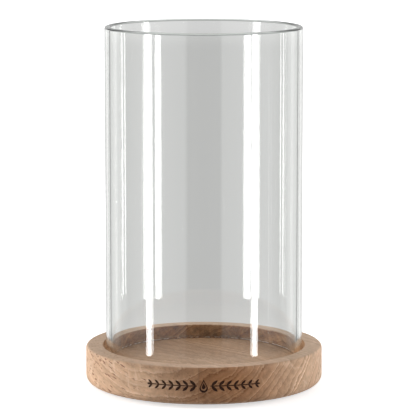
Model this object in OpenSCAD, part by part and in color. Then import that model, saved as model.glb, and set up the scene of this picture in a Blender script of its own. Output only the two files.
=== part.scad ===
// Hurricane candle holder for a table: an open glass cylinder that stands
// with play in the turned recess of a solid oak base, on felt foot pads.
// Units are millimetres and +Z is up. The origin is the middle of the
// footprint, on the surface that the holder stands on. The front faces -Y.

/* [Glass cylinder] */
// Outer diameter of the glass tube
glass_d = 100; // [80:1:130]
// Height of the glass tube
glass_h = 169; // [120:1:240]
// Wall thickness of the glass tube
glass_wall = 3; // [2.6:0.1:4]
// Radius of the fire-polished edges of both rims
polish_round = 1.2; // [0.4:0.1:1.2]

/* [Oak base] */
// Thickness of the oak disc
base_h = 19; // [17:0.5:30]
// Width of the wooden rim that surrounds the recess
rim_w = 8.85; // [7:0.05:20]
// Depth of the recess that the glass stands in
recess_depth = 6.5; // [4:0.5:10]
// Play between the glass and the wall of the recess, all round
glass_play = 1.4; // [1:0.1:3]
// Radius of the disc's outer top edge
top_round = 1.5; // [0.5:0.1:3]
// Radius of the disc's outer bottom edge
bottom_round = 4; // [1:0.5:6]
// Radius of the recess's upper edge
lip_round = 0.6; // [0.2:0.1:1.5]
// Radius of the corner between the recess's floor and its wall
floor_fillet = 0.5; // [0.2:0.1:0.8]

/* [Burned ornament] */
// Depth of the burned lines
burn_depth = 0.35; // [0.1:0.05:0.8]
// Length of the whole ornament, measured around the disc
ornament_w = 58; // [40:1:90]
// Height of the flame in its middle
flame_h = 6.6; // [5:0.1:8]
// Height of the ornament's middle line above the disc's underside
ornament_z = 10; // [8:0.5:12]
// Pairs of leaves on each side of the flame
leaf_pairs = 7; // [4:1:10]
// Length of the largest leaf
leaf_len = 4.1; // [2:0.1:5]
// Width of the burned stem
stem_w = 0.55; // [0.3:0.05:1]

/* [Foot pads] */
// Diameter of one felt pad
pad_d = 14; // [8:1:20]
// Thickness of one felt pad
pad_h = 1.5; // [1:0.5:4]
// Width of flat underside left outside each pad
pad_inset = 6; // [1:1:15]

/* [Hidden] */
$fn = 96;

glass_r = glass_d / 2;
recess_r = glass_r + glass_play;
base_r = recess_r + rim_w;
floor_h = base_h - recess_depth;
pad_circle_r = base_r - bottom_round - pad_inset - pad_d / 2;

// Angle from one felt pad to the next, and of the first one
pad_step = 90;
pad_start = 45;
// How far a cutter runs past the surface that it cuts
over = 1;
// Half of the gap in the sprig on each side of the flame
flame_clear = 3.8;
// Angle between a leaf and the stem
leaf_tilt = 42;
// Distance from the stem's middle line to the foot of a leaf
leaf_lift = 0.1;
// Leaf width as a part of its length
leaf_slim = 0.36;
// Size of the outermost leaf as a part of the largest one
leaf_taper = 0.72;
// Width of the burned line round the flame
flame_line = 0.7;
// Flame width as a part of its height
flame_slim = 0.62;

// Angle around the disc, in degrees, of a length measured along its side
function around(length) = length / base_r * 180 / PI;

// A slab of the turned profile, with a radius of its own at each outer corner
module profile_slab(r_in, r_out, low, high, low_round, high_round) {
    translate([r_in, low + low_round])
        square([r_out - r_in, high - low - low_round - high_round]);
    translate([r_in, low])
        square([r_out - r_in - low_round, low_round]);
    translate([r_in, high - high_round])
        square([r_out - r_in - high_round, high_round]);
    translate([r_out - low_round, low + low_round])
        circle(r = low_round);
    translate([r_out - high_round, high - high_round])
        circle(r = high_round);
}

// The square patch that a small edge radius is cut from or filled with
module corner_patch(size) {
    difference() {
        square(size);
        translate([size, size])
            circle(r = size);
    }
}

// Half of the disc's cross-section
module disc_profile() {
    difference() {
        profile_slab(0, base_r, 0, base_h, bottom_round, top_round);
        translate([0, floor_h])
            square([recess_r, recess_depth + over]);
        translate([recess_r, base_h])
            mirror([0, 1])
                corner_patch(lip_round);
    }
    translate([recess_r, floor_h])
        mirror([1, 0])
            corner_patch(floor_fillet);
}

// A leaf with two pointed ends, lying along +X from the origin
module leaf_shape(length) {
    width = length * leaf_slim;
    arc_r = (length * length + width * width) / (4 * width);
    intersection_for (side = [-1, 1])
        translate([length / 2, side * (arc_r - width / 2)])
            circle(r = arc_r);
}

// A flame: a round foot that runs up to a point
module flame_shape(height) {
    foot_r = height * flame_slim / 2;
    reach = height - foot_r;
    touch = acos(foot_r / reach);
    translate([0, foot_r - height / 2]) {
        circle(r = foot_r);
        polygon([[foot_r * sin(touch), foot_r * cos(touch)],
                 [0, reach],
                 [-foot_r * sin(touch), foot_r * cos(touch)]]);
    }
}

// Turns a flat shape into a cutter that points at the disc's axis
module radial_cutter(angle) {
    rotate([0, 0, angle])
        translate([0, -base_r + over, ornament_z])
            rotate([90, 0, 0])
                linear_extrude(2 * over)
                    children();
}

// The line round the flame and its solid heart
module flame_cutter() {
    radial_cutter(0) {
        difference() {
            flame_shape(flame_h);
            flame_shape(flame_h - 3 * flame_line);
        }
        flame_shape(flame_h - 5 * flame_line);
    }
}

// One sprig: a stem along the disc's side with leaves above and below it
module sprig_cutter() {
    run = ornament_w / 2 - flame_clear - leaf_len * leaf_taper;
    for (i = [0 : leaf_pairs - 1]) {
        part_way = i / (leaf_pairs - 1);
        length = leaf_len * (1 - (1 - leaf_taper) * part_way);
        for (side = [-1, 1])
            radial_cutter(around(flame_clear + run * part_way))
                translate([0, side * leaf_lift])
                    rotate([0, 0, side * leaf_tilt])
                        leaf_shape(length);
    }
    radial_cutter(around(flame_clear + run))
        leaf_shape(leaf_len * leaf_taper);
    stem_cutter(around(flame_clear - stem_w), around(flame_clear + run + stem_w));
}

// The stem, as a wedge of the disc between two angles
module stem_cutter(from, to) {
    reach = 2 * base_r;
    translate([0, 0, ornament_z - stem_w / 2])
        linear_extrude(stem_w)
            polygon([[0, 0],
                     [reach * sin(from), -reach * cos(from)],
                     [reach * sin(to), -reach * cos(to)]]);
}

// Everything that is burned into the side, down to burn_depth
module ornament() {
    intersection() {
        translate([0, 0, ornament_z - flame_h])
            difference() {
                cylinder(r = base_r + over, h = 2 * flame_h);
                translate([0, 0, -over])
                    cylinder(r = base_r - burn_depth, h = 2 * flame_h + 2 * over);
            }
        union() {
            flame_cutter();
            sprig_cutter();
            mirror([1, 0, 0])
                sprig_cutter();
        }
    }
}

// The oak disc: turned from one solid board, with the ornament in its front
module base() {
    color("burlywood")
        translate([0, 0, pad_h])
            difference() {
                rotate_extrude($fn = 192)
                    disc_profile();
                ornament();
            }
}

// The glass tube, open at both ends, standing on the recess's floor
module glass_cylinder() {
    color("lightcyan", 0.4)
        translate([0, 0, pad_h + floor_h])
            rotate_extrude($fn = 192)
                intersection() {
                    profile_slab(0, glass_r, 0, glass_h, polish_round, polish_round);
                    translate([2 * glass_r - glass_wall, 0])
                        mirror([1, 0])
                            profile_slab(0, glass_r, 0, glass_h, polish_round, polish_round);
                }
}

// One felt pad, stuck under the disc; the pads are numbered from the back right
module foot_pad(number) {
    color("dimgray")
        rotate([0, 0, pad_start + (number - 1) * pad_step])
            translate([pad_circle_r, 0, 0])
                cylinder(r = pad_d / 2, h = pad_h);
}

base();
glass_cylinder();
foot_pad(1);  // foot_pad_1
foot_pad(2);  // foot_pad_2
foot_pad(3);  // foot_pad_3
foot_pad(4);  // foot_pad_4
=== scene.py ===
"""Looks of a hurricane candle holder: an oak disc, an open glass cylinder and felt foot pads.

Lengths are in metres, except inside the wood and felt materials, whose patterns are in millimetres.
The front faces -Y, so angles around the object are counted from -Y, with +X at 90 degrees.
"""
import math

import bpy
import bmesh
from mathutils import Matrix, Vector


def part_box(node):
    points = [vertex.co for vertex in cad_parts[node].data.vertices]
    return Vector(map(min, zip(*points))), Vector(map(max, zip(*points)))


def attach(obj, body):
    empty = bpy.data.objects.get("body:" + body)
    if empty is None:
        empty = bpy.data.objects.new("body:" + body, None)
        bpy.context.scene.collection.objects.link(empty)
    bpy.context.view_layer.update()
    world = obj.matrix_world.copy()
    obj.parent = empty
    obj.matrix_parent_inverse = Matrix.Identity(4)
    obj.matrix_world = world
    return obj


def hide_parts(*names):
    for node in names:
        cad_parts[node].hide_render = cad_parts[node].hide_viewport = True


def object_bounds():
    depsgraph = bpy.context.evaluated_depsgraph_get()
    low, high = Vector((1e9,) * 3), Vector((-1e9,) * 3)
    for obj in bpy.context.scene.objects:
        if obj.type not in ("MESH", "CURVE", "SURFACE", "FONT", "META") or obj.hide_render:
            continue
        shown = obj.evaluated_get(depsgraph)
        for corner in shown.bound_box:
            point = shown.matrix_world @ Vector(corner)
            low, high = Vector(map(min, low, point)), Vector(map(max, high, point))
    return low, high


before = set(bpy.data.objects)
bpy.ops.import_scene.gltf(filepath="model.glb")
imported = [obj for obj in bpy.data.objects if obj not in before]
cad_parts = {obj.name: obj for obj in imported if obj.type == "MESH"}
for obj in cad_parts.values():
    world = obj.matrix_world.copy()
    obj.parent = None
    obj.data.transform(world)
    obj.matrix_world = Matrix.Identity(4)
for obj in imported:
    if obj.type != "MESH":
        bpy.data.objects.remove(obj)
cad_low, cad_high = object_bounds()

MM = 0.001

# The camera that the object's proportions were measured with: where it stands, in metres, how far
# it looks down, in radians, and its lens and sensor, in mm
CAMERA_BACK = 1.2711
CAMERA_ASIDE = 0.0031
CAMERA_OVER_DISC = 0.28005
CAMERA_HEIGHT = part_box("base")[0].z + CAMERA_OVER_DISC
CAMERA_DIP = 0.150
LENS = 217.1
SENSOR = 36.0


# ---------------------------------------------------------------- node helpers

class Graph:
    """A short way to write node trees: every call adds one node and gives back one output."""

    def __init__(self, tree):
        self.tree = tree
        self.tree.nodes.clear()

    def add(self, kind, inputs=None, out=0, **settings):
        node = self.tree.nodes.new(kind)
        for name, value in settings.items():
            setattr(node, name, value)
        for key, value in (inputs or {}).items():
            if isinstance(value, bpy.types.NodeSocket):
                self.tree.links.new(value, node.inputs[key])
            else:
                node.inputs[key].default_value = value
        return node.outputs[out]

    def place(self):
        """Where the point is in the object's own frame, in metres."""
        return self.add("ShaderNodeTexCoord", out="Object")

    def place_in_mm(self):
        return self.scaled(self.place(), 1 / MM)

    def math(self, operation, a, b=0.0, c=0.0):
        return self.add("ShaderNodeMath", {0: a, 1: b, 2: c}, operation=operation)

    def length(self, a, b):
        """Length of the level line whose two legs are a and b."""
        return self.math("SQRT", self.math("ADD", self.math("MULTIPLY", a, a),
                                           self.math("MULTIPLY", b, b)))

    def vector(self, operation, a, b=(0, 0, 0)):
        return self.add("ShaderNodeVectorMath", {0: a, 1: b}, operation=operation)

    def dot(self, a, b):
        return self.add("ShaderNodeVectorMath", {0: a, 1: b}, out="Value", operation="DOT_PRODUCT")

    def scaled(self, vector, factor):
        return self.add("ShaderNodeVectorMath", {0: vector, "Scale": factor}, operation="SCALE")

    def split(self, vector):
        node = self.add("ShaderNodeSeparateXYZ", {0: vector}).node
        return node.outputs[0], node.outputs[1], node.outputs[2]

    def join(self, x=0.0, y=0.0, z=0.0):
        return self.add("ShaderNodeCombineXYZ", {0: x, 1: y, 2: z})

    def noise(self, vector, scale=1.0, detail=2.0, roughness=0.5):
        return self.add("ShaderNodeTexNoise", {"Vector": vector, "Scale": scale, "Detail": detail,
                                               "Roughness": roughness})

    def step(self, value, low, high, to_low=0.0, to_high=1.0):
        """Value mapped smoothly from low..high to to_low..to_high, and held beyond."""
        return self.add("ShaderNodeMapRange",
                        {"Value": value, "From Min": low, "From Max": high,
                         "To Min": to_low, "To Max": to_high},
                        interpolation_type="SMOOTHSTEP")

    def ramp(self, value, stops):
        """stops: (position, colour or grey) pairs."""
        output = self.add("ShaderNodeValToRGB", {0: value})
        elements = output.node.color_ramp.elements
        while len(elements) < len(stops):
            elements.new(1.0)
        for element, (position, colour) in zip(elements, stops):
            element.position = position
            rgb = colour if isinstance(colour, tuple) else (colour, colour, colour)
            element.color = (*rgb, 1)
        return output

    def mix(self, factor, a, b, blend="MIX"):
        """Colour a turning into colour b."""
        node = self.tree.nodes.new("ShaderNodeMix")
        node.data_type = "RGBA"
        node.blend_type = blend
        for key, value in ((0, factor), (6, a), (7, b)):
            if isinstance(value, bpy.types.NodeSocket):
                self.tree.links.new(value, node.inputs[key])
            else:
                node.inputs[key].default_value = (*value, 1) if isinstance(value, tuple) else value
        return node.outputs[2]

    def tint(self, amount, colour, tone):
        """Colour multiplied by a tone, by the amount 0 to 1."""
        return self.mix(amount, colour, tone, "MULTIPLY")

    def surface(self, shader, volume=None):
        output = self.tree.nodes.new("ShaderNodeOutputMaterial")
        self.tree.links.new(shader, output.inputs["Surface"])
        if volume:
            self.tree.links.new(volume, output.inputs["Volume"])


def new_material(name):
    material = bpy.data.materials.new(name)
    material.use_nodes = True
    return material, Graph(material.node_tree)


def dress(piece, material):
    piece.data.materials.clear()
    piece.data.materials.append(material)


def new_object(name, data):
    thing = bpy.data.objects.new(name, data)
    bpy.context.scene.collection.objects.link(thing)
    return thing


# ---------------------------------------------------------------- oak

def grain_axes(heading, dip):
    """Directions along the fibres, level across them and upward across them, from two angles."""
    heading = math.radians(heading)
    dip = math.radians(dip)
    along = Vector((math.cos(heading) * math.cos(dip), math.sin(heading) * math.cos(dip),
                    -math.sin(dip)))
    across = Vector((-math.sin(heading), math.cos(heading), 0))
    return along, across, along.cross(across)


# The board's fibres run from the back to the front, a little to the right, and dip to the front
BOARD_GRAIN = grain_axes(-76, 20)
# On the left they swing round beside a knot, and the open pores follow them
KNOT_GRAIN = grain_axes(-44, 21)
# The tree's pith, left of the disc's centre and above it, and the mean ring width, in mm
PITH_LEFT = 61.0
PITH_ABOVE = 123.0
RING_WIDTH = 3.4
# How far the grain wavers, in mm, and how uneven and ragged the rings are, in ring widths
WAVER = 9.0
UNEVENNESS = 4.0
RAGGEDNESS = 0.80
# How often each part of the figure changes, per mm: along the fibres and twice across them
SLOW_WAVER = (0.012, 0.040, 0.040)
BROAD_SHADES = (0.010, 0.060, 0.060)
PATCHES = (0.045, 0.12, 0.12)
COARSE_FIBRES = (0.05, 0.45, 0.45)
RAGGED_EDGES = (0.10, 0.60, 0.60)
FINE_FIBRES = (0.20, 2.6, 2.6)
OPEN_PORES = (0.22, 1.15, 1.15)
FINE_PORES = (0.16, 1.5, 1.5)
# Shifts the fine pores away from the open ones
FINE_PORES_START = (3.1, 7.7, 1.9)

OAK_DEEP = (0.33, 0.180, 0.098)
OAK_MID = (0.50, 0.315, 0.198)
OAK_LIGHT = (0.63, 0.425, 0.285)
OAK_STREAK = (0.84, 0.64, 0.48)
OAK_SANDED = (0.64, 0.44, 0.305)
PORE = (0.165, 0.052, 0.030)
CHAR = (0.034, 0.012, 0.008)
# Tones that the wood's colour is multiplied by:
# the smoke of the burning, which drifted this far to the right, in mm
SCORCH = (0.78, 0.59, 0.44)
SMOKE_ASIDE = 10.0
# painted shade on the top of the rim at the two sides, to even them with the darker front
RIM_SIDES_SHADE = (0.86, 0.87, 0.85)
# painted shade in the recess, deepening towards the back
RECESS_SHADE = (0.70, 0.61, 0.51)
# painted shade on the recess's wall, except right at the back, and greyer at the wall's left
# and right ends
WALL_SHADE = (0.78, 0.62, 0.47)
WALL_ENDS_SHADE = (0.74, 0.68, 0.61)
# painted shade beside a dark upright mark, which stands at this x in mm, in the middle of the
# front and of the back of the recess's wall
MARK_SIDES_SHADE = (0.90, 0.84, 0.77)
MARK_AT = -2.4
# dust and shade under the glass, which set in between these two distances inside the recess's
# wall, in mm
DUSK = (0.44, 0.38, 0.33)
DUSK_INSIDE = (5.1, 4.5)


def oak_material(ornament_middle, burned_below, band_half, recess_radius, recess_floor, rim_top):
    """Oiled oak, solid all through, with its front ornament burned.

    ornament_middle is the ornament's height and band_half is half of its band; wood nearer to
    the axis than burned_below inside that band is the charred bottom of a groove (all in mm).
    The recess is painted a tone darker as shade, and the sanded top of the rim shows less figure.
    """
    material, g = new_material("oiled_oak")
    place = g.place_in_mm()
    x, y, z = g.split(place)
    turned = g.join(*(g.dot(place, axis) for axis in BOARD_GRAIN))
    swung = g.join(*(g.dot(place, axis) for axis in KNOT_GRAIN))

    # Where on the disc this is
    from_axis = g.length(x, y)
    aside_middle = g.math("ABSOLUTE", x)
    sunken = g.math("MULTIPLY", g.step(from_axis, recess_radius + 0.5, recess_radius),
                    g.math("GREATER_THAN", z, recess_floor - 0.5))
    recess_wall = g.math("MULTIPLY", sunken, g.step(z, recess_floor + 0.4, recess_floor + 1.2))
    off_ornament = g.math("ABSOLUTE", g.math("SUBTRACT", z, ornament_middle))
    front = g.math("MULTIPLY", g.math("LESS_THAN", y, 0.0),
                   g.math("GREATER_THAN", from_axis, burned_below - 1.0))

    # The board isn't perfectly straight-grained: everything follows this slow waver
    slow = g.add("ShaderNodeTexNoise", {"Vector": g.vector("MULTIPLY", turned, SLOW_WAVER),
                                        "Scale": 1.0, "Detail": 3.0}, out="Color")
    waver = g.scaled(g.vector("SUBTRACT", slow, (0.5, 0.5, 0.5)), WAVER)
    wavy = g.vector("ADD", turned, waver)
    along, across, up = g.split(wavy)
    aside = g.math("ADD", across, PITH_LEFT)
    above = g.math("SUBTRACT", up, PITH_ABOVE)

    # Growth rings round the pith, of uneven width
    radius = g.length(aside, above)
    unevenness = g.noise(g.join(radius, 0.0, 0.0), scale=0.16, detail=2.0)
    ring_count = g.math("ADD", g.math("DIVIDE", radius, RING_WIDTH),
                        g.math("MULTIPLY", unevenness, UNEVENNESS))
    ragged = g.noise(g.vector("MULTIPLY", wavy, RAGGED_EDGES), detail=3.0, roughness=0.6)
    in_ring = g.math("FRACT", g.math("ADD", ring_count, g.math("MULTIPLY", ragged, RAGGEDNESS)))
    ring_tint = g.add("ShaderNodeTexWhiteNoise", {"W": g.math("FLOOR", ring_count)},
                      noise_dimensions="1D")

    # Fibres: long thin streaks, a coarse set and a fine one
    coarse = g.noise(g.vector("MULTIPLY", wavy, COARSE_FIBRES), detail=3.0, roughness=0.55)
    fine = g.noise(g.vector("MULTIPLY", wavy, FINE_FIBRES), detail=3.0, roughness=0.6)
    broad = g.noise(g.vector("MULTIPLY", turned, BROAD_SHADES), detail=2.0)

    # Pores: short dark vessels along the fibres, open on the board's left and filled elsewhere
    patchy = g.step(g.noise(g.vector("MULTIPLY", turned, PATCHES), detail=1.0), 0.42, 0.60)
    left = g.step(x, -26.0, -48.0)
    early_wood = g.step(g.math("FRACT", ring_count), 0.60, 0.20)
    crowding = g.math("MULTIPLY", g.math("MULTIPLY_ADD", early_wood, 0.34, 0.10), left)
    pore = vessels(g, swung, OPEN_PORES, 0.46, crowding)
    front_left = g.math("MULTIPLY", g.step(x, 0.0, -16.0), g.step(x, -58.0, -40.0))
    fine_crowding = g.math("ADD", g.math("MULTIPLY", front_left, 0.22),
                           g.math("MULTIPLY", patchy, 0.05))
    hair = vessels(g, g.vector("ADD", swung, FINE_PORES_START), FINE_PORES, 0.44, fine_crowding)

    # Rays: thin pale sheets that stand radially on the pith
    bearing = g.math("ARCTAN2", above, aside)
    ray_place = g.join(g.math("MULTIPLY", along, 0.14), g.math("MULTIPLY", bearing, 60.0),
                       g.math("MULTIPLY", radius, 0.09))
    ray = g.step(g.noise(ray_place, detail=1.0), 0.60, 0.70)

    # A ring starts deep, lightens, and ends in a pale streak of varying strength
    colour = g.ramp(in_ring, [(0.0, OAK_DEEP), (0.16, OAK_MID), (0.60, OAK_LIGHT),
                              (0.80, OAK_LIGHT), (1.0, OAK_MID)])
    streak = g.math("MULTIPLY", g.step(in_ring, 0.66, 0.84), g.step(in_ring, 0.98, 0.88))
    streak = g.math("MULTIPLY", streak, g.step(ring_tint, 0.1, 0.9, 0.25, 1.0))
    colour = g.mix(streak, colour, OAK_STREAK)

    # The rings are weak on the left and strong in the recess's wall
    even = g.mix(0.55, OAK_MID, OAK_LIGHT)
    ring_strength = g.math("ADD", g.step(across, -45.0, 0.0, 0.30, 0.70),
                           g.math("MULTIPLY", patchy, 0.20))
    ring_strength = g.math("ADD", ring_strength, g.math("MULTIPLY", recess_wall, 0.60))
    colour = g.mix(ring_strength, even, colour)

    # Shades of the fibres, of whole rings and of broad stretches, stronger in the recess's wall
    shade = 0.0
    for part, amount in ((coarse, 1.15), (fine, 0.70), (ring_tint, 0.22), (broad, 1.1)):
        shade = g.math("ADD", shade, g.math("MULTIPLY", g.math("SUBTRACT", part, 0.5), amount))
    shade = g.math("MULTIPLY", shade, g.math("MULTIPLY_ADD", recess_wall, 1.7, 1.0))
    shade = g.ramp(g.math("ADD", shade, 0.5), [(0.0, 0.66), (0.5, 1.0), (1.0, 1.28)])
    colour = g.tint(1.0, colour, shade)

    # Sanding has evened the top of the rim and the recess's floor
    rim = g.step(z, rim_top - 0.5, rim_top - 0.1)
    recess_bottom = g.math("MULTIPLY", sunken, g.step(z, recess_floor + 0.5, recess_floor))
    sanded = g.math("MAXIMUM", g.math("MULTIPLY", rim, 0.5),
                    g.math("MULTIPLY", recess_bottom, 0.30))
    colour = g.mix(sanded, colour, OAK_SANDED)
    # Painted shade on the top of the rim at its two sides
    colour = g.tint(g.math("MULTIPLY", rim, g.step(aside_middle, 26.0, 50.0)), colour, RIM_SIDES_SHADE)
    figure = g.math("SUBTRACT", 1.0, sanded)
    for mask, amount, tone in ((ray, 0.30, OAK_STREAK), (hair, 0.36, PORE), (pore, 0.80, PORE)):
        colour = g.mix(g.math("MULTIPLY", mask, g.math("MULTIPLY", figure, amount)), colour, tone)

    # Smoke from the burning has toasted the wood around the ornament
    smoke = g.math("ABSOLUTE", g.math("SUBTRACT", x, SMOKE_ASIDE))
    toasted = g.math("MULTIPLY", g.step(smoke, 44.0, 4.0),
                     g.step(off_ornament, 14.0, 3.0, 0.60, 1.0))
    colour = g.tint(g.math("MULTIPLY", toasted, front), colour, SCORCH)

    # Painted shade: on the front right of the mark, above all high up; at the back on both sides
    from_mark = g.math("SUBTRACT", x, MARK_AT)
    beside_mark = g.math("ABSOLUTE", from_mark)
    right_front = g.math("MULTIPLY", g.step(from_mark, -0.3, 0.3), g.step(from_mark, 34.0, 12.0))
    right_front = g.math("MULTIPLY", right_front,
                         g.step(z, ornament_middle - 5.0, ornament_middle + 4.0, 0.15, 1.0))
    shade_by_mark = g.math("ADD", g.math("MULTIPLY", right_front, front),
                    g.math("MULTIPLY", recess_wall, g.step(beside_mark, 40.0, 12.0)))
    colour = g.tint(shade_by_mark, colour, MARK_SIDES_SHADE)
    mark = g.math("MULTIPLY", g.step(beside_mark, 0.50, 0.10),
                  g.math("MAXIMUM", front, recess_wall))
    colour = g.mix(g.math("MULTIPLY", mark, 0.45), colour, OAK_DEEP)

    # Painted shade in the recess, on its wall, and on the wood close under the glass
    colour = g.tint(g.math("MULTIPLY", sunken, g.step(y, -40.0, 30.0, 0.15, 1.0)), colour, RECESS_SHADE)
    # Painted shade on the recess's wall
    wall_shade = g.mix(g.step(aside_middle, 38.0, 48.0), WALL_SHADE, WALL_ENDS_SHADE)
    colour = g.tint(g.math("MULTIPLY", recess_wall, g.step(aside_middle, 5.0, 18.0)), colour,
                    wall_shade)
    under_glass = g.step(from_axis, *(recess_radius - inside for inside in DUSK_INSIDE))
    under_glass = g.math("MULTIPLY", under_glass, g.step(z, recess_floor + 1.0, recess_floor + 0.3))
    under_glass = g.math("MULTIPLY", under_glass, g.step(x, -46.0, -22.0, 0.45, 1.0))
    colour = g.tint(g.math("MULTIPLY", under_glass, sunken), colour, DUSK)

    # The grooves themselves are charred
    in_band = g.math("LESS_THAN", off_ornament, band_half)
    burned = g.math("MULTIPLY", g.step(from_axis, burned_below, burned_below - 0.08),
                    g.math("MULTIPLY", in_band, front))
    colour = g.mix(g.math("MULTIPLY", burned, 0.93), colour, CHAR)

    height = g.math("SUBTRACT", g.math("MULTIPLY", fine, 0.30), g.math("MULTIPLY", pore, 0.9))
    height = g.math("SUBTRACT", height, g.math("MULTIPLY", hair, 0.4))
    height = g.math("ADD", height, g.math("MULTIPLY", in_ring, 0.12))
    bump = g.add("ShaderNodeBump", {"Strength": 0.4, "Distance": 0.12 * MM, "Height": height})
    roughness = g.math("ADD", g.math("MULTIPLY", fine, 0.22), g.math("MULTIPLY", pore, 0.25))
    roughness = g.math("ADD", g.math("ADD", roughness, 0.40), g.math("MULTIPLY", burned, 0.3))
    g.surface(g.add("ShaderNodeBsdfPrincipled", {
        "Base Color": colour, "Roughness": roughness, "Normal": bump,
        "IOR": 1.45, "Specular IOR Level": 0.28}))
    return material


def vessels(g, place, per_mm, size, share):
    """1 inside thin spindles that lie along the fibres, in a share of the cells of 1 / per_mm."""
    cells = g.add("ShaderNodeTexVoronoi", {"Vector": g.vector("MULTIPLY", place, per_mm),
                                           "Scale": 1.0, "Randomness": 1.0}).node
    pick = g.split(cells.outputs["Color"])[0]
    spindle = g.step(cells.outputs["Distance"], size, size * 0.75)
    return g.math("MULTIPLY", spindle, g.math("LESS_THAN", pick, share))


# ---------------------------------------------------------------- glass

GLASS_IOR = 1.5
# Each metre of glass absorbs each colour at this density times one less the body's colour
GLASS_DENSITY = 48.0
GLASS_BODY = (0.817, 0.856, 0.796, 1)
CLEAR = (1.0, 1.0, 1.0)
# Standing and sliding has worn the foot dull, in patches: where, in mm above its end. Its warm
# pale colour is painted light, for light carried down the wall that leaves at the worn end
WORN_FOOT = (0.85, 0.45)
WORN_LIT_COLOUR = (1.0, 0.88, 0.76)
# Painted light on the polished top, a pale green edge from above for light carried along the wall,
# and a painted dark reflection on its rounding from the side: where they are, in mm below the top
LIP = (0.30, 0.08)
LIP_PAINTED_LIGHT = (0.62, 0.78, 0.68)
ROUNDING_LOW = (1.1, 0.8)
ROUNDING_HIGH = (0.30, 0.45)
ROUNDING_PAINTED_DARK = (0.34, 0.37, 0.355)
# Shares of the light that the worn foot and the lip scatter
WORN_DULL = 0.75
LIP_DULL = 0.20


def glass_material(foot, top):
    """Clear smooth glass with a faint body colour; foot and top are its ends' heights, in mm."""
    material, g = new_material("clear_tube_glass")
    place = g.place_in_mm()
    # Drawn tube is never quite true: long vertical waves, far too shallow to feel
    waves = g.noise(g.vector("MULTIPLY", place, (0.05, 0.05, 0.004)), detail=1.0)
    bump = g.add("ShaderNodeBump", {"Strength": 0.10, "Distance": 0.25 * MM, "Height": waves})
    z = g.split(place)[2]

    def below_top(span):
        return g.step(z, *(top - depth for depth in span))

    patches = g.noise(g.scaled(place, 0.40), detail=3.0)
    # The worn foot is dull, and its warm pale tone is painted light leaving the wall's worn end
    worn = g.math("MULTIPLY", g.step(z, *(foot + height for height in WORN_FOOT)),
                  g.step(patches, 0.40, 0.60, 0.15, 1.0))
    lip = below_top(LIP)
    rounding = g.math("MULTIPLY", below_top(ROUNDING_LOW), below_top(ROUNDING_HIGH))
    # Painted light: the lip's pale green edge; painted dark reflection: the grey band on the
    # rounding
    colour = g.mix(lip, g.mix(worn, CLEAR, WORN_LIT_COLOUR), LIP_PAINTED_LIGHT)
    colour = g.mix(rounding, colour, ROUNDING_PAINTED_DARK)
    dull = g.math("ADD", g.math("MULTIPLY", worn, WORN_DULL), g.math("MULTIPLY", lip, LIP_DULL))
    shader = g.add("ShaderNodeBsdfPrincipled", {
        "Base Color": colour, "IOR": GLASS_IOR,
        "Roughness": g.math("MULTIPLY", worn, 0.5), "Normal": bump,
        "Transmission Weight": g.math("SUBTRACT", 1.0, dull)})
    body = g.add("ShaderNodeVolumeAbsorption", {"Color": GLASS_BODY, "Density": GLASS_DENSITY})
    g.surface(shader, body)
    return material


# ---------------------------------------------------------------- felt

def felt_material():
    """Pressed grey felt: matted short fibres and a fuzzy sheen."""
    material, g = new_material("pressed_felt")
    place = g.place_in_mm()
    matted = g.noise(place, scale=1.1, detail=6.0, roughness=0.75)
    strands = g.noise(g.vector("MULTIPLY", place, (4.5, 1.1, 2.0)), detail=4.0, roughness=0.7)
    blend = g.math("ADD", g.math("MULTIPLY", matted, 0.6), g.math("MULTIPLY", strands, 0.4))
    colour = g.ramp(blend, [(0.30, (0.055, 0.055, 0.058)), (0.52, (0.11, 0.11, 0.113)),
                            (0.70, (0.22, 0.22, 0.22))])
    bump = g.add("ShaderNodeBump", {"Strength": 0.8, "Distance": 0.3 * MM, "Height": blend})
    g.surface(g.add("ShaderNodeBsdfPrincipled", {
        "Base Color": colour, "Roughness": 0.95, "Normal": bump,
        "Sheen Weight": 0.35, "Sheen Roughness": 0.5}))
    return material


# ---------------------------------------------------------------- stage

FLOOR_HALF = 8.0
# The light that the floor adds to look white to the camera grows between these distances from the
# object, from the first strength to the second
LIFT_DISTANCES = (0.16, 0.45)
LIFT_STRENGTHS = (0.62, 1.10)


def floor_material():
    """White to the camera; a slightly darker sheet to the light that reaches the object."""
    material, g = new_material("studio_floor")
    seen = g.add("ShaderNodeLightPath", out="Is Camera Ray")
    place = g.place()
    grain = g.noise(place, scale=180.0, detail=3.0)
    pale = g.ramp(grain, [(0.3, 0.88), (0.7, 0.92)])
    colour = g.mix(seen, (0.78, 0.78, 0.78), pale)
    paper = g.add("ShaderNodeBsdfDiffuse", {"Color": colour, "Roughness": 0.5})
    x, y = g.split(place)[:2]
    white = g.step(g.length(x, y), *LIFT_DISTANCES, *LIFT_STRENGTHS)
    lift = g.add("ShaderNodeEmission", {"Color": (1, 1, 1, 1),
                                        "Strength": g.math("MULTIPLY", seen, white)})
    g.surface(g.add("ShaderNodeAddShader", {0: paper, 1: lift}))
    return material


def make_floor(half_size, level):
    mesh = bpy.data.meshes.new("floor")
    corners = [(-half_size, -half_size, level), (half_size, -half_size, level),
               (half_size, half_size, level), (-half_size, half_size, level)]
    mesh.from_pydata(corners, [], [(0, 1, 2, 3)])
    floor = new_object("floor", mesh)
    dress(floor, floor_material())
    # The glass shows the studio's walls, and not this sheet, behind and beside it
    floor.visible_glossy = False
    floor.visible_transmission = False


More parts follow.
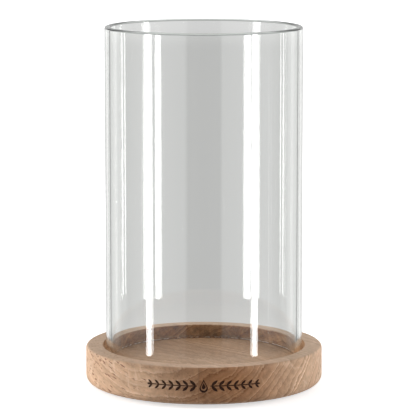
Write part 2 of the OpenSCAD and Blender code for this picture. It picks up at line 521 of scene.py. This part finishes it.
# How bright the studio's walls are, by angle from the front in degrees. There is a dark gap
# behind the camera, and a narrow one on each side between the backdrop and the side walls.
WALLS = ((0, 0.02), (20.0, 0.04), (22.5, 0.62), (60, 0.80), (86, 0.92), (98, 0.62), (117, 0.55),
         (121, 0.95), (125, 0.95), (129, 0.60), (144, 0.75), (145.5, 0.20), (148, 0.20),
         (149.5, 1.05), (165, 0.94), (173, 0.65), (180, 0.605))
# The same by height: the sine of the angle above the horizon, for the backdrop and for the rest
BACKDROP = ((-0.30, 1.0), (-0.200, 1.12), (-0.185, 1.0), (-0.0825, 1.0), (-0.0795, 1.16),
            (0.70, 1.16), (0.90, 0.50))
ROOM = ((-0.2015, 0.28), (-0.196, 1.0), (-0.0825, 1.0), (-0.0795, 1.10), (0.70, 1.10),
        (0.90, 0.50))
# Where the backdrop begins, in degrees from the front
BACKDROP_FROM = 155
# What is seen straight through the glass is plainer: pale all round, without the dark gaps, and
# an even white below, so that the glass is clear from every side
CLEAR_WALLS = ((0, 0.605), (7, 0.65), (15, 0.94), (30, 1.05), (45, 0.90), (75, 0.80), (90, 0.68),
               (105, 0.80), (135, 0.90), (150, 1.05), (165, 0.94), (173, 0.65), (180, 0.605))
CLEAR_HEIGHT = BACKDROP[:-1]
# From there down, and between these sines, it turns into this white
CLEAR_BELOW = (0.86, 0.86, 0.86)
CLEAR_BELOW_SINES = (-0.28, -0.45)
# What the glass and the wood mirror from further below is an even grey
MIRRORED_BELOW = (0.55, 0.55, 0.55)
MIRRORED_BELOW_SINES = (-0.32, -0.60)


def make_world():
    """Pale walls all round, with darker gaps; plain white where the camera sees them directly."""
    world = bpy.data.worlds.new("studio_walls")
    bpy.context.scene.world = world
    world.use_nodes = True
    g = Graph(world.node_tree)
    direction = g.add("ShaderNodeTexCoord", out="Generated")
    x, y, z = g.split(direction)
    frontward = g.math("DIVIDE", g.math("MULTIPLY", y, -1.0),
                       g.math("MAXIMUM", g.length(x, y), 0.0001))
    frontward = g.math("MAXIMUM", g.math("MINIMUM", frontward, 1.0), -1.0)
    turned = g.math("DIVIDE", g.math("ARCCOSINE", frontward), math.pi)
    upright = g.math("MULTIPLY_ADD", z, 0.5, 0.5)

    def by_angle(table):
        return g.ramp(turned, [(angle / 180, bright) for angle, bright in table])

    def by_height(table):
        return g.ramp(upright, [((sine + 1) / 2, bright) for sine, bright in table])

    behind = g.math("GREATER_THAN", turned, BACKDROP_FROM / 180)
    room = g.mix(behind, by_height(ROOM), by_height(BACKDROP))
    mirrored = g.tint(1.0, by_angle(WALLS), room)
    mirrored = g.mix(g.step(z, *MIRRORED_BELOW_SINES), mirrored, MIRRORED_BELOW)
    clear = g.tint(behind, by_angle(CLEAR_WALLS), by_height(CLEAR_HEIGHT))
    clear = g.mix(g.step(z, *CLEAR_BELOW_SINES), clear, CLEAR_BELOW)

    # Seen straight through the glass: after transmissions and nothing else
    path = g.add("ShaderNodeLightPath").node.outputs
    straight = g.math("MULTIPLY", g.math("GREATER_THAN", path["Transmission Depth"], 0.5),
                      g.math("MULTIPLY", g.math("LESS_THAN", path["Glossy Depth"], 0.5),
                             g.math("LESS_THAN", path["Diffuse Depth"], 0.5)))
    colour = g.mix(straight, mirrored, clear)
    colour = g.mix(path["Is Camera Ray"], colour, (1.0, 1.0, 1.0))
    shader = g.add("ShaderNodeBackground", {"Color": colour, "Strength": 1.0})
    output = g.tree.nodes.new("ShaderNodeOutputWorld")
    g.tree.links.new(shader, output.inputs["Surface"])


def around(angle, distance, height):
    """A point at an angle in degrees from the front."""
    turn = math.radians(angle)
    return Vector((distance * math.sin(turn), -distance * math.cos(turn), height))


def area_light(name, width, tall, radiance):
    """A rectangular light that the camera doesn't see. Radiance is what a mirror would show."""
    light = bpy.data.lights.new(name, "AREA")
    light.shape = "RECTANGLE"
    light.size = width
    light.size_y = tall
    light.energy = radiance * math.pi * width * tall
    lamp = new_object(name, light)
    lamp.visible_camera = False
    return lamp


# Two broad banks at the sides shape the wood; the left one is the stronger. Name, angle, radiance
BANKS = (("bank_left", -92, 9.1), ("bank_right", 90, 5.3))
BANK_DISTANCE = 0.9
BANK_HEIGHT = 0.19
BANK_WIDTH = 0.55
BANK_TALL = 0.5
# The height that both are aimed at
BANK_AIM = 0.03


def make_banks():
    for name, angle, radiance in BANKS:
        bank = area_light(name, BANK_WIDTH, BANK_TALL, radiance)
        bank.location = around(angle, BANK_DISTANCE, BANK_HEIGHT)
        towards = Vector((0, 0, BANK_AIM)) - bank.location
        bank.rotation_euler = towards.to_track_quat("-Z", "Y").to_euler()
        bank.visible_glossy = False
        bank.visible_transmission = False


# The bright lines down the glass: name, wall, how far from the middle the line lies, its width,
# its lowest point above the table (all in mm) and its brightness
LINES = (
    ("left_wide", "front", -27.2, 2.6, -30, 26),
    ("left_narrow", "front", -22.6, 2.4, 52, 26),
    ("left_back", "back", -29.8, 3.9, -30, 26),
    ("right_wide", "front", 25.4, 2.6, -30, 26),
    ("right_narrow", "front", 21.6, 2.7, 52, 26),
    ("right_back", "back", 27.2, 3.6, -30, 26),
    ("left_thin", "front", -40.1, 0.5, 52, 9),
    ("right_thin", "front", 39.2, 0.5, 52, 9),
)
# How far from the wall each line's strip light stands
STRIP_REACH = {"front": 0.15, "back": 0.30}
# Strips shine this many degrees wide, so that each is mirrored by one wall only
STRIP_SPREAD = 16


def make_line(name, wall, aside, width, lowest, brightness, tube, outer, inner, top):
    """A strip light that the tube's front or back wall mirrors to the camera as an upright line."""
    curve = outer if wall == "front" else inner
    facing = -1 if wall == "front" else 1

    def mirrored(offset):
        """Where the wall is at that offset, and where it sends the camera's look from there."""
        point = Vector((offset, facing * math.sqrt(curve ** 2 - offset ** 2)))
        look = (point - Vector((CAMERA_ASIDE, -CAMERA_BACK))).normalized()
        outward = point.normalized()
        return point, look - 2 * look.dot(outward) * outward

    reach = STRIP_REACH[wall]
    half = width * MM / 2
    edges = []
    for offset in (aside * MM - half, aside * MM + half):
        point, way = mirrored(offset)
        edges.append(point + way * reach)
    point, way = mirrored(aside * MM)
    centre = point + way * reach
    # The camera looks down on the glass, so the mirrored look keeps falling on its way to the strip
    fall_top = (CAMERA_HEIGHT - top) / CAMERA_BACK
    fall_low = (CAMERA_HEIGHT - lowest * MM) / CAMERA_BACK
    high = top - reach * fall_top
    low = lowest * MM - reach * fall_low
    # A narrow beam is brighter ahead for the same power, by this much
    half_spread = math.radians(STRIP_SPREAD) / 2
    beam = math.tan(half_spread) / (math.tan(half_spread) - half_spread)
    strip = area_light(name, (edges[0] - edges[1]).length, high - low, brightness / beam)
    strip.data.spread = 2 * half_spread
    strip.location = (centre.x, centre.y, (high + low) / 2)
    facing_glass = Vector((-way.x, -way.y, (fall_top + fall_low) / 2))
    strip.rotation_euler = facing_glass.to_track_quat("-Z", "Y").to_euler()
    strip.visible_diffuse = False
    strip.light_linking.receiver_collection = tube


# How far the flag reaches to each side, in degrees, and where it stands, in metres
FLAG_HALF_ANGLE = 48
FLAG_DISTANCE = 0.55
FLAG_FOOT = 0.002
FLAG_HEIGHT = 0.50
FLAG_PARTS = 24


def make_flag():
    """A black card that keeps light off the disc's near side; only diffuse light meets it."""
    bm = bmesh.new()
    low_ring = []
    high_ring = []
    for k in range(FLAG_PARTS + 1):
        angle = -FLAG_HALF_ANGLE + 2 * FLAG_HALF_ANGLE * k / FLAG_PARTS
        low_ring.append(bm.verts.new(around(angle, FLAG_DISTANCE, FLAG_FOOT)))
        high_ring.append(bm.verts.new(around(angle, FLAG_DISTANCE, FLAG_HEIGHT)))
    for k in range(FLAG_PARTS):
        bm.faces.new((low_ring[k], low_ring[k + 1], high_ring[k + 1], high_ring[k]))
    mesh = bpy.data.meshes.new("flag")
    bm.to_mesh(mesh)
    bm.free()
    flag = new_object("flag", mesh)
    material, g = new_material("black_card")
    place = g.place()
    tone = g.ramp(g.noise(place, scale=90.0), [(0.3, 0.015), (0.7, 0.025)])
    g.surface(g.add("ShaderNodeBsdfDiffuse", {"Color": tone}))
    dress(flag, material)
    flag.visible_camera = False
    flag.visible_glossy = False
    flag.visible_transmission = False


def make_camera():
    camera = bpy.data.cameras.new("camera")
    camera.lens = LENS
    camera.sensor_width = SENSOR
    camera.clip_start = 0.05
    camera.clip_end = 50.0
    holder = new_object("camera", camera)
    holder.location = (CAMERA_ASIDE, -CAMERA_BACK, CAMERA_HEIGHT)
    holder.rotation_euler = (math.pi / 2 - CAMERA_DIP, 0, 0)
    bpy.context.scene.camera = holder


# ---------------------------------------------------------------- pieces

GLASS_WALL = 3.0 * MM
# Radius of the four rounded edges, how many faces each has, and how many go round the tube
GLASS_POLISH = 1.2 * MM
POLISH_STEPS = 8
TUBE_TURNS = 256


def make_glass(node):
    """The tube again, from the CAD node's own sizes, turned finely enough to refract smoothly."""
    low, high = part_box(node)
    outer = (high.x - low.x) / 2
    inner = outer - GLASS_WALL
    polish = GLASS_POLISH
    corners = ((outer - polish, low.z + polish, -90), (outer - polish, high.z - polish, 0),
               (inner + polish, high.z - polish, 90), (inner + polish, low.z + polish, 180))
    bm = bmesh.new()
    rings = []
    normals = []
    for centre_r, centre_z, start in corners:
        for step in range(POLISH_STEPS + 1):
            slope = math.radians(start + 90 * step / POLISH_STEPS)
            r = centre_r + polish * math.cos(slope)
            z = centre_z + polish * math.sin(slope)
            ring = []
            for k in range(TUBE_TURNS):
                turn = 2 * math.pi * k / TUBE_TURNS
                ring.append(bm.verts.new((r * math.cos(turn), r * math.sin(turn), z)))
                normals.append((math.cos(slope) * math.cos(turn),
                                math.cos(slope) * math.sin(turn), math.sin(slope)))
            rings.append(ring)
    for ring, following in zip(rings, rings[1:] + rings[:1]):
        for k in range(TUBE_TURNS):
            after = (k + 1) % TUBE_TURNS
            bm.faces.new((ring[k], ring[after], following[after], following[k])).smooth = True
    mesh = bpy.data.meshes.new("glass_tube")
    bm.to_mesh(mesh)
    bm.free()
    # The true normals, because averaged ones would turn the straight walls into lenses
    mesh.normals_split_custom_set_from_vertices(normals)
    tube = new_object("glass_tube", mesh)
    dress(tube, glass_material(low.z / MM, high.z / MM))
    # Light reaches the wood through the tube as if it weren't there
    tube.visible_shadow = False
    tube.visible_diffuse = False
    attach(tube, "glass")
    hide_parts(node)
    return tube, outer, inner, high.z


make_camera()
bpy.context.scene.view_settings.view_transform = "Standard"
make_world()
make_floor(FLOOR_HALF, cad_low[2])
make_banks()
make_flag()

# From the disc's underside to the ornament's middle line, and half of the ornament's height
ORNAMENT_UP = 10.0
ORNAMENT_HALF = 4.0
# Size of the turned recess
RECESS_RADIUS = 51.4
RECESS_DEPTH = 6.5
# The burned grooves are deeper than this
GROOVE_DEPTH = 0.06
base_low, base_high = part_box("base")
base_radius = (base_high.x - base_low.x) / 2
oak = oak_material(base_low.z / MM + ORNAMENT_UP, base_radius / MM - GROOVE_DEPTH, ORNAMENT_HALF,
                   RECESS_RADIUS, base_high.z / MM - RECESS_DEPTH, base_high.z / MM)
dress(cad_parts["base"], oak)
felt = felt_material()
for number in range(1, 5):
    dress(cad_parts[f"foot_pad_{number}"], felt)
glass_tube, tube_outer, tube_inner, tube_top = make_glass("glass_cylinder")
only_tube = bpy.data.collections.new("lit_by_strips")
only_tube.objects.link(glass_tube)
for line in LINES:
    make_line(*line, only_tube, tube_outer, tube_inner, tube_top)
